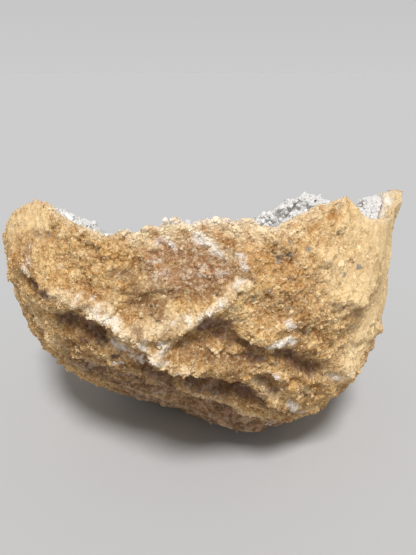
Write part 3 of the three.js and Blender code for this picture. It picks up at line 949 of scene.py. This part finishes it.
# ---- Crystal crust ----
# The large crystals, from the CAD part: radius and reach are the least and the most.
CRYSTAL_COUNT = 130
CRYSTAL_SIDES = 6
CRYSTAL_RADIUS = 1.9, 3.4
CRYSTAL_REACH = 1.0, 1.9
CRYSTAL_POINT = 1.15
CRYSTAL_ROOT = 1.4
CRYSTAL_LEAN = 16
CRYSTAL_RIM_CLEARANCE = 4.5
# Unevenness in shares of the radius: of the shoulders, of their width, and of the tip's place.
SHOULDER_UNEVENNESS = 0.16
SHOULDER_TAPER = 0.94
TIP_STRAY = 0.18
TOP_OF_CRYSTALS = 17
GOLDEN_ANGLE = 137.508
CRYSTAL_SEED = 7
# The small crystals of the bed and the broken ones of the edge, which the CAD part leaves out.
SMALL_CRYSTALS = 6200
SMALL_RADIUS = 0.8
SMALL_CRYSTAL_POINT = 0.7
SHARDS = 1300
SHARD_RADIUS = 0.42
# Size of the rounded lumps that the bed and its small crystals follow.
BED_LUMP = 4.4


def lining_grid():
    """Points of the crust's back against the rock, of its broken edge and of its lumpy bed."""
    lon = np.linspace(-180, 180, CRUST_MERIDIANS, endpoint=False)
    _, crust = ragged_rim(lon)
    back_shares = np.linspace(0.04, 1, LINING_ROWS)
    back_lons, back_lats = meridian_grid(crust_radius, lon, crust, back_shares)
    back = placed(back_lons, back_lats, crust_radius(back_lons, back_lats))
    shares = np.linspace(1, 0.03, BED_ROWS)
    lons, lats = meridian_grid(bed_radius, lon, crust - CRUST_RIM_SLOPE, shares)
    smooth = placed(lons, lats, bed_radius(lons, lats))
    lumps = 1.5 * domes(smooth, BED_LUMP, 401) + 0.5 * layered_noise(smooth, 2.2, 2, 411)
    bed = placed(lons, lats, bed_radius(lons, lats) - lumps)
    edge = break_between(back[:, -1], bed[:, 0], CRUST_BREAK_ROWS, 0.7, 421)
    return back, edge, bed


def frames_along(axes, spins):
    """Rotation matrices whose third axis follows each given axis."""
    helper = np.where(np.abs(axes[:, 2:]) > 0.9, (1.0, 0.0, 0.0), (0.0, 0.0, 1.0))
    first = np.cross(helper, axes)
    first /= np.linalg.norm(first, axis=1, keepdims=True)
    second = np.cross(axes, first)
    cos, sin = np.cos(spins)[:, None], np.sin(spins)[:, None]
    return np.stack([first * cos + second * sin, second * cos - first * sin, axes], axis=-1)


def crystal_points(radii, lengths, random, point=CRYSTAL_POINT):
    """Points of six-sided crystals that stand on the origin, one row for each."""
    count = len(radii)
    angle = np.radians(60) * np.arange(CRYSTAL_SIDES)
    ring = np.stack([np.cos(angle), np.sin(angle)], axis=-1)[None] * radii[:, None, None]
    uneven = SHOULDER_UNEVENNESS * radii[:, None] * random.uniform(-1, 1, size=(count, CRYSTAL_SIDES))
    root = np.concatenate([ring, np.full((count, CRYSTAL_SIDES, 1), -CRYSTAL_ROOT)], axis=-1)
    shoulder = np.concatenate([ring * SHOULDER_TAPER, (lengths[:, None] + uneven)[..., None]], axis=-1)
    apex = np.zeros((count, 1, 3))
    apex[:, 0, :2] = TIP_STRAY * radii[:, None] * random.uniform(-1, 1, size=(count, 2))
    apex[:, 0, 2] = lengths + radii * point
    return np.concatenate([root, shoulder, apex], axis=1)


def crystal_faces(count, first):
    """Faces of the crystals' sides and points, with their points numbered from first."""
    side = np.arange(CRYSTAL_SIDES)
    beside = (side + 1) % CRYSTAL_SIDES
    walls = np.stack([side, beside, beside + CRYSTAL_SIDES, side + CRYSTAL_SIDES], axis=-1)
    tips = np.stack(
        [side + CRYSTAL_SIDES, beside + CRYSTAL_SIDES, np.full(CRYSTAL_SIDES, 2 * CRYSTAL_SIDES)],
        axis=-1,
    )
    start = first + np.arange(count)[:, None, None] * (2 * CRYSTAL_SIDES + 1)
    return (walls[None] + start).reshape(-1, 4).tolist(), (tips[None] + start).reshape(-1, 3).tolist()


def standing(points, axes, spins, spots):
    """Crystals turned from upright to their axes and moved to their spots."""
    turned = np.einsum("nij,npj->npi", frames_along(axes, spins), points)
    return turned + spots[:, None]


def crystal_numbers():
    """The CAD part's repeatable numbers from 0 to 1, one after the other."""
    state = CRYSTAL_SEED
    while True:
        state = (state * 1664525 + 1013904223) % 4294967296
        yield state / 4294967296


def large_crystal(lon, height, numbers):
    """Direction, radius, length, axis and spin of a crystal, from the CAD part's numbers."""
    lat = float(latitude_at(bed_radius, np.array(lon), height))
    low, high = CRYSTAL_RADIUS
    radius = low + (high - low) * next(numbers) ** 1.5
    shortest, longest = CRYSTAL_REACH
    length = radius * (shortest + (longest - shortest) * next(numbers))
    lean_x = math.radians(CRYSTAL_LEAN * (2 * next(numbers) - 1))
    turn = math.radians(360 * next(numbers))
    lean_z = math.radians(CRYSTAL_LEAN * (2 * next(numbers) - 1))
    inward = Vector(-direction(lon, lat))
    stand = Vector((0, 1, 0)).rotation_difference(inward).to_matrix()
    axis = stand @ Euler((lean_x, turn, lean_z), "ZYX").to_matrix() @ Vector((0, 1, 0))
    return lon, lat, radius, length, axis, turn


def large_crystals():
    """The CAD part's crystals, at the same places."""
    numbers = crystal_numbers()
    rows = []
    deepest = -float(bed_radius(np.array(0.0), np.array(-90.0)))
    for i in range(CRYSTAL_COUNT):
        height = deepest + (TOP_OF_CRYSTALS - deepest) * (i + 0.5) / CRYSTAL_COUNT
        lon = (i * GOLDEN_ANGLE) % 360 - 180
        if height <= rim_heights(lon)[1] - CRYSTAL_RIM_CLEARANCE:
            rows.append(large_crystal(lon, height, numbers))
    lons, lats, radii, lengths, axes, spins = (np.array(list(column)) for column in zip(*rows))
    shapes = crystal_points(radii, lengths, np.random.default_rng(CRYSTAL_SEED))
    return standing(shapes, axes, spins, placed(lons, lats, bed_radius(lons, lats)))


def leaning(random, axes, lean):
    """Unit axes turned a little, each its own way."""
    axes = axes + lean * random.normal(size=axes.shape)
    return axes / np.linalg.norm(axes, axis=1, keepdims=True)


def turned_crystals(random, radii, lengths, axes, spots):
    """Small crystals on their spots, each turned its own way about its axis."""
    spins = random.uniform(0, 2 * math.pi, size=len(radii))
    shapes = crystal_points(radii, lengths, random, SMALL_CRYSTAL_POINT)
    return standing(shapes, axes, spins, spots)


def small_crystals(bed):
    """A dense growth of small crystals over the whole bed."""
    random = np.random.default_rng(CRYSTAL_SEED + 1)
    normals, areas = surface_frame(bed)
    weight = areas.ravel()
    chosen = random.choice(weight.size, size=SMALL_CRYSTALS, p=weight / weight.sum())
    lumpy = 0.7 + 0.6 * domes(bed.reshape(-1, 3)[chosen], BED_LUMP, 401)
    radii = SMALL_RADIUS * lumpy * np.exp(random.normal(0, SIZE_SPREAD, size=SMALL_CRYSTALS))
    lengths = radii * random.uniform(0.0, 0.9, size=SMALL_CRYSTALS)
    axes = leaning(random, normals.reshape(-1, 3)[chosen], 0.3)
    spots = bed.reshape(-1, 3)[chosen] + 0.3 * random.normal(size=(SMALL_CRYSTALS, 3))
    return turned_crystals(random, radii, lengths, axes, spots)


def edge_shards(edge):
    """Small broken crystals on the crust's broken edge."""
    random = np.random.default_rng(CRYSTAL_SEED + 2)
    flat = edge.reshape(-1, 3)
    chosen = random.integers(len(flat), size=SHARDS)
    radii = SHARD_RADIUS * np.exp(random.normal(0, 0.3, size=SHARDS))
    lengths = radii * random.uniform(0.0, 1.0, size=SHARDS)
    axes = leaning(random, np.tile((0, 0, 1.0), (SHARDS, 1)), 0.6)
    return turned_crystals(random, radii, lengths, axes, flat[chosen])


def build_crust(material):
    back, edge, bed = lining_grid()
    grid = np.concatenate([back, edge, bed], axis=1)
    faces = closed_bowl(grid)
    points = [grid.reshape(-1, 3)]
    total = len(points[0])
    for crystals in (large_crystals(), small_crystals(bed), edge_shards(edge)):
        walls, tips = crystal_faces(len(crystals), total)
        faces += walls + tips
        points.append(crystals.reshape(-1, 3))
        total += len(points[-1])
    crust = mesh_object("crystal_druse", np.concatenate(points), faces, material, False)
    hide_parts("crystal_crust")


# ---- Materials ----
ROCK_ROUGHNESS = 0.92
WHITE_ROUGHNESS = 0.55
ROCK_SHINE = 0.3
# Size of the clumps that the fine cracks of the rock divide it into.
CLUMP_SIZE = 1.15
CLEAR_ROUGHNESS = 0.32
MILKY_ROUGHNESS = 0.55
QUARTZ_IOR = 1.544
QUARTZ_TRANSMISSION = 0.12
# Numbers of the Mix node's sockets when it mixes colours.
MIX_SHARE, MIX_FIRST, MIX_SECOND, MIX_COLOUR = 0, 6, 7, 2


def grey(level):
    return level, level, level


class Finish:
    """A material, with short calls that add nodes to it."""

    def __init__(self, name):
        self.data = bpy.data.materials.new(name)
        self.data.use_nodes = True
        self.tree = self.data.node_tree
        self.shader = self.tree.nodes["Principled BSDF"]

    def feed(self, socket, value):
        if isinstance(value, bpy.types.NodeSocket):
            self.tree.links.new(value, socket)
        else:
            socket.default_value = value

    def node(self, kind, settings=None, **inputs):
        made = self.tree.nodes.new("ShaderNode" + kind)
        for name, value in (settings or {}).items():
            setattr(made, name, value)
        for name, value in inputs.items():
            self.feed(made.inputs[name], value)
        return made

    def place(self):
        return self.node("TexCoord").outputs["Object"]

    def noise(self, size, detail=2.0, roughness=0.5):
        """Noise from 0 to 1 whose lumps are about size millimetres across."""
        made = self.node(
            "TexNoise", Vector=self.place(), Scale=1 / (size * MM), Detail=detail, Roughness=roughness
        )
        return made.outputs["Fac"]

    def grains(self, size):
        """Distance from 0 to about 1 from the middle of the nearest grain of that size."""
        made = self.node("TexVoronoi", Vector=self.place(), Scale=1 / (size * MM))
        return made.outputs["Distance"]

    def cracks(self, size):
        """Distance from the nearest crack of a crazed pattern whose pieces have that size."""
        push = self.node("TexNoise", Vector=self.place(), Scale=0.8 / (size * MM), Detail=1.0)
        shift = self.node("VectorMath", {"operation": "SCALE"}, Scale=0.9 * size * MM)
        self.feed(shift.inputs[0], push.outputs["Color"])
        place = self.node("VectorMath", {"operation": "ADD"})
        self.feed(place.inputs[0], self.place())
        self.feed(place.inputs[1], shift.outputs["Vector"])
        pattern = {"feature": "DISTANCE_TO_EDGE"}
        made = self.node("TexVoronoi", pattern, Vector=place.outputs["Vector"], Scale=1 / (size * MM))
        return made.outputs["Distance"]

    def mask(self, name):
        return self.node("Attribute", {"attribute_name": name}).outputs["Fac"]

    def combined(self, operation, first, second, clamp=True):
        made = self.node("Math", {"operation": operation, "use_clamp": clamp})
        self.feed(made.inputs[0], first)
        self.feed(made.inputs[1], second)
        return made.outputs[0]

    def times(self, first, second):
        return self.combined("MULTIPLY", first, second)

    def plus(self, first, second):
        """The sum of two shares, at most 1."""
        return self.combined("ADD", first, second)

    def window(self, value, low, high):
        """0 below low, 1 above high, and a straight slope between."""
        made = self.node("MapRange", {"clamp": True})
        self.feed(made.inputs["Value"], value)
        made.inputs["From Min"].default_value = low
        made.inputs["From Max"].default_value = high
        return made.outputs["Result"]

    def mix(self, share, first, second, blend="MIX"):
        """The first colour with a share of the second laid over it."""
        made = self.node("Mix", {"data_type": "RGBA", "blend_type": blend})
        self.feed(made.inputs[MIX_SHARE], share)
        for number, colour in ((MIX_FIRST, first), (MIX_SECOND, second)):
            self.feed(made.inputs[number], (*colour, 1) if isinstance(colour, tuple) else colour)
        return made.outputs[MIX_COLOUR]

    def bump(self, height, distance, below=None):
        """Normals of a relief a distance in millimetres high, over those of the one below."""
        made = self.node("Bump", Height=height, Distance=distance * MM)
        if below is not None:
            self.feed(made.inputs["Normal"], below)
        return made.outputs["Normal"]


ROCK = {
    "ochre": (0.59, 0.345, 0.125),
    "tan": (0.74, 0.485, 0.205),
    "light": (0.84, 0.645, 0.36),
    "cream": (0.94, 0.77, 0.50),
    "pale": (0.88, 0.66, 0.36),
    "rust": (0.52, 0.22, 0.045),
    "pink": (0.42, 0.238, 0.138),
    "crystal": (0.82, 0.71, 0.56),
    "white": (0.93, 0.87, 0.80),
    "shade": (0.245, 0.14, 0.075),
    # Umber and painted shade of the underside.
    "umber_shade_pale": (0.45, 0.32, 0.235),
    "umber_shade_deep": (0.14, 0.085, 0.058),
    # Purple-brown and painted shade of the recesses.
    "recess_shade_deep": (0.095, 0.053, 0.042),
    "recess_shade_pale": (0.25, 0.165, 0.13),
    # Brown of the pits, also the colour of the painted shade in the cracks.
    "pit": (0.24, 0.10, 0.022),
    "speck": (0.17, 0.185, 0.195),
}
# Tints that the rock's colour is multiplied by: painted shade in the gaps, and the dark grains.
GAP_SHADE_TINT = (0.45, 0.28, 0.15)
DARK_GRAIN_TINT = (0.62, 0.42, 0.25)
# How much each zone covers the colours under it, in the order in which the zones are laid on.
ZONE_SHARES = {
    "pale": 0.85,
    "cream": 0.85,
    "pink": 0.85,
    "shade": 0.75,
    "umber_and_underside_shade": 0.85,
    "recess_brown_and_shade": 0.9,
    "white": 0.9,
    "rust": 0.65,
}


def rock_colour(rock):
    """Ochre rock of mixed grains, under colour zones that include painted shade in recesses and
    underneath.
    """
    broad = rock.window(rock.noise(8.0, 3.0, 0.55), 0.38, 0.62)
    medium = rock.window(rock.noise(2.0, 3.0, 0.6), 0.42, 0.62)
    blotch = rock.noise(3.0, 3.0, 0.6)
    umber_and_underside_shade = rock.mix(rock.window(blotch, 0.44, 0.56), ROCK["umber_shade_deep"], ROCK["umber_shade_pale"])
    recess_brown_and_shade = rock.mix(rock.window(blotch, 0.48, 0.58), ROCK["recess_shade_deep"], ROCK["recess_shade_pale"])
    tints = ROCK | {"umber_and_underside_shade": umber_and_underside_shade, "recess_brown_and_shade": recess_brown_and_shade}
    colour = rock.mix(broad, ROCK["ochre"], ROCK["tan"])
    colour = rock.mix(rock.times(medium, 0.45), colour, ROCK["light"])
    for zone, share in ZONE_SHARES.items():
        colour = rock.mix(rock.times(rock.mask(zone), share), colour, tints[zone])
    return colour


def pink_crystals(rock, colour):
    """White crystals in the pink quartz."""
    crystals = rock.window(rock.noise(1.4, 2.0, 0.6), 0.51, 0.6)
    crystals = rock.times(crystals, rock.mask("pink"))
    return rock.mix(rock.times(crystals, 0.6), colour, ROCK["crystal"])


def pitted_places(rock):
    """How clearly pits, cracks and painted gap shade show: fully in ochre, less in white or pale
    places.
    """
    smooth = rock.plus(rock.mask("white"), rock.times(rock.mask("cream"), 0.6))
    smooth = rock.plus(smooth, rock.times(rock.mask("pale"), 0.7))
    return rock.window(smooth, 1.5, 0.0)


def dark_grain(rock, colour, fine, pitted):
    """Painted shade in the gaps between lumps and in thin cracks in patches, and pits of the sugary
    grain.
    """
    # Painted shade in the low gaps of the relief.
    gap_shade = rock.times(rock.window(rock.mask("gap_shade"), 0.45, 0.95), pitted)
    colour = rock.mix(rock.times(gap_shade, 0.65), colour, GAP_SHADE_TINT, "MULTIPLY")
    pit = rock.times(rock.window(fine, 0.46, 0.34), pitted)
    colour = rock.mix(rock.times(pit, 0.75), colour, rock.mix(0.7, colour, ROCK["pit"]))
    # Painted shade in the creases between the clumps that the bump makes, in patches.
    crack_shade = rock.window(rock.cracks(CLUMP_SIZE), 0.13, 0.03)
    crack_shade = rock.times(crack_shade, rock.window(rock.noise(3.2, 2.0), 0.40, 0.54))
    crack_shade = rock.times(rock.times(crack_shade, pitted), rock.mask("crumble"))
    return rock.mix(rock.times(crack_shade, 0.7), colour, rock.mix(0.75, colour, ROCK["pit"]))


def pale_grain(rock, colour, fine):
    """Pale tips of the sugary grain and pale loose grains, outside the dark places."""
    outside = rock.window(rock.plus(rock.mask("recess_brown_and_shade"), rock.mask("umber_and_underside_shade")), 0.8, 0.2)
    tip = rock.times(rock.window(fine, 0.54, 0.68), rock.window(outside, -0.4, 1.0))
    colour = rock.mix(rock.times(tip, 0.55), colour, rock.mix(0.7, colour, ROCK["cream"]))
    loose = rock.times(rock.window(rock.mask("tint"), 0.55, 1.0), outside)
    return rock.mix(rock.times(loose, 0.55), colour, ROCK["cream"])


def dark_loose_grains(rock, colour, pitted):
    loose = rock.times(rock.window(rock.mask("tint"), 0.4, 0.0), pitted)
    return rock.mix(rock.times(loose, 0.75), colour, DARK_GRAIN_TINT, "MULTIPLY")


def grey_specks(rock, colour):
    spots = rock.window(rock.grains(2.0), 0.44, 0.24)
    spots = rock.times(spots, rock.window(rock.noise(2.6, 2.0), 0.45, 0.53))
    spots = rock.times(spots, rock.mask("specks"))
    return rock.mix(rock.times(spots, 0.75), colour, ROCK["speck"])


def rock_bumps(rock):
    """Normals of the clumps and of two sizes of grain, all lower in the pale places."""
    rough = rock.window(rock.mask("pale"), 1.6, 0.0)
    clumps = rock.times(rock.window(rock.cracks(CLUMP_SIZE), 0.0, 0.3), rough)
    coarse = rock.times(rock.noise(0.9, 3.0, 0.7), rough)
    grains = rock.combined("SUBTRACT", 1.0, rock.grains(0.65), clamp=False)
    below = rock.bump(coarse, 0.4, rock.bump(clumps, 0.08))
    return rock.bump(rock.times(grains, rough), 0.2, below)


def rock_finish():
    rock = Finish("ochre_rock")
    fine = rock.noise(0.75, 2.0, 0.6)
    pitted = pitted_places(rock)
    colour = pink_crystals(rock, rock_colour(rock))
    colour = dark_grain(rock, colour, fine, pitted)
    colour = pale_grain(rock, colour, fine)
    colour = dark_loose_grains(rock, colour, pitted)
    rock.feed(rock.shader.inputs["Base Color"], grey_specks(rock, colour))
    rough = rock.mix(rock.mask("white"), grey(ROCK_ROUGHNESS), grey(WHITE_ROUGHNESS))
    rock.feed(rock.shader.inputs["Roughness"], rough)
    rock.shader.inputs["Specular IOR Level"].default_value = ROCK_SHINE
    rock.feed(rock.shader.inputs["Normal"], rock_bumps(rock))
    return rock.data


QUARTZ = {
    "clear": (0.79, 0.77, 0.75),
    "milk": (0.77, 0.745, 0.715),
    "stain": (0.78, 0.64, 0.46),
}


def quartz_finish():
    """Milky quartz: part see-through, with bright faces and cloudy and stained places."""
    quartz = Finish("milky_quartz")
    cloud = quartz.window(quartz.noise(5.0, 3.0, 0.6), 0.35, 0.65)
    colour = quartz.mix(cloud, QUARTZ["clear"], QUARTZ["milk"])
    stain = quartz.window(quartz.noise(11.0, 4.0, 0.6), 0.60, 0.72)
    colour = quartz.mix(quartz.times(stain, 0.5), colour, QUARTZ["stain"])
    quartz.feed(quartz.shader.inputs["Base Color"], colour)
    rough = quartz.mix(cloud, grey(CLEAR_ROUGHNESS), grey(MILKY_ROUGHNESS))
    quartz.feed(quartz.shader.inputs["Roughness"], rough)
    quartz.shader.inputs["IOR"].default_value = QUARTZ_IOR
    quartz.shader.inputs["Transmission Weight"].default_value = QUARTZ_TRANSMISSION
    ripple = quartz.noise(0.9, 3.0, 0.6)
    quartz.feed(quartz.shader.inputs["Normal"], quartz.bump(ripple, 0.06))
    return quartz.data


# ---- Stage, light and camera: the floor in metres, the view in millimetres and degrees ----
FLOOR_SIZE = 40.0
FLOOR_ALBEDO = 0.50
SUN_STRENGTH = 3.2
SUN_TOWARDS = (0.02, -0.56, 0.83)
SUN_WIDTH = 13.0
SKY_AT_HORIZON = 0.60
SKY_OVERHEAD = 0.26
VIEW_DISTANCE = 151.0
VIEW_ELEVATION = 16.0
CAMERA_PITCH = 20.0
CAMERA_ASIDE = 1.5
CAMERA_LENS = 37.04


def floor_finish():
    pale = Finish("pale_floor")
    pale.shader.inputs["Base Color"].default_value = (*grey(FLOOR_ALBEDO), 1)
    pale.shader.inputs["Roughness"].default_value = 0.9
    pale.shader.inputs["Specular IOR Level"].default_value = 0.0
    return pale.data


def build_floor():
    half = FLOOR_SIZE / 2
    corners = [(-half, -half, 0), (half, -half, 0), (half, half, 0), (-half, half, 0)]
    mesh = bpy.data.meshes.new("floor")
    mesh.from_pydata(corners, [], [(0, 1, 2, 3)])
    mesh.materials.append(floor_finish())
    floor = bpy.data.objects.new("floor", mesh)
    bpy.context.scene.collection.objects.link(floor)


def light_sky():
    """A white studio all round, a little darker overhead, as bright at the horizon as the floor."""
    world = bpy.data.worlds.new("studio")
    world.use_nodes = True
    nodes, links = world.node_tree.nodes, world.node_tree.links
    ray = nodes.new("ShaderNodeTexCoord")
    split = nodes.new("ShaderNodeSeparateXYZ")
    links.new(ray.outputs["Generated"], split.inputs["Vector"])
    height = nodes.new("ShaderNodeMapRange")
    links.new(split.outputs["Z"], height.inputs["Value"])
    height.inputs["To Min"].default_value = SKY_AT_HORIZON
    height.inputs["To Max"].default_value = SKY_OVERHEAD
    links.new(height.outputs["Result"], nodes["Background"].inputs["Strength"])
    nodes["Background"].inputs["Color"].default_value = (1, 1, 1, 1)
    bpy.context.scene.world = world


def light_scene():
    """One large soft lamp above the front, far enough away to light the floor evenly."""
    data = bpy.data.lights.new("lamp", "SUN")
    data.energy = SUN_STRENGTH
    data.angle = math.radians(SUN_WIDTH)
    lamp = bpy.data.objects.new("lamp", data)
    lamp.rotation_euler = Vector(SUN_TOWARDS).to_track_quat("Z", "Y").to_euler()
    bpy.context.scene.collection.objects.link(lamp)
    light_sky()
    bpy.context.scene.view_settings.view_transform = "Standard"


def aim_camera():
    """The view of the photograph: from a little above the rim, looking down at the front."""
    elevation = math.radians(VIEW_ELEVATION)
    data = bpy.data.cameras.new("camera")
    data.lens = CAMERA_LENS
    camera = bpy.data.objects.new("camera", data)
    away = VIEW_DISTANCE * math.cos(elevation)
    height = CENTRE_HEIGHT + VIEW_DISTANCE * math.sin(elevation)
    camera.location = (CAMERA_ASIDE * MM, -away * MM, height * MM)
    camera.rotation_euler = (math.radians(90 - CAMERA_PITCH), 0, 0)
    bpy.context.scene.collection.objects.link(camera)
    bpy.context.scene.camera = camera


def build():
    rock = rock_finish()
    ground = build_rind(rock)
    for seed, kind in enumerate(GRAINS, GRAIN_SEED):
        build_grains(seed, kind, ground, rock)
    build_crust(quartz_finish())
    build_floor()
    light_scene()
    aim_camera()


build()
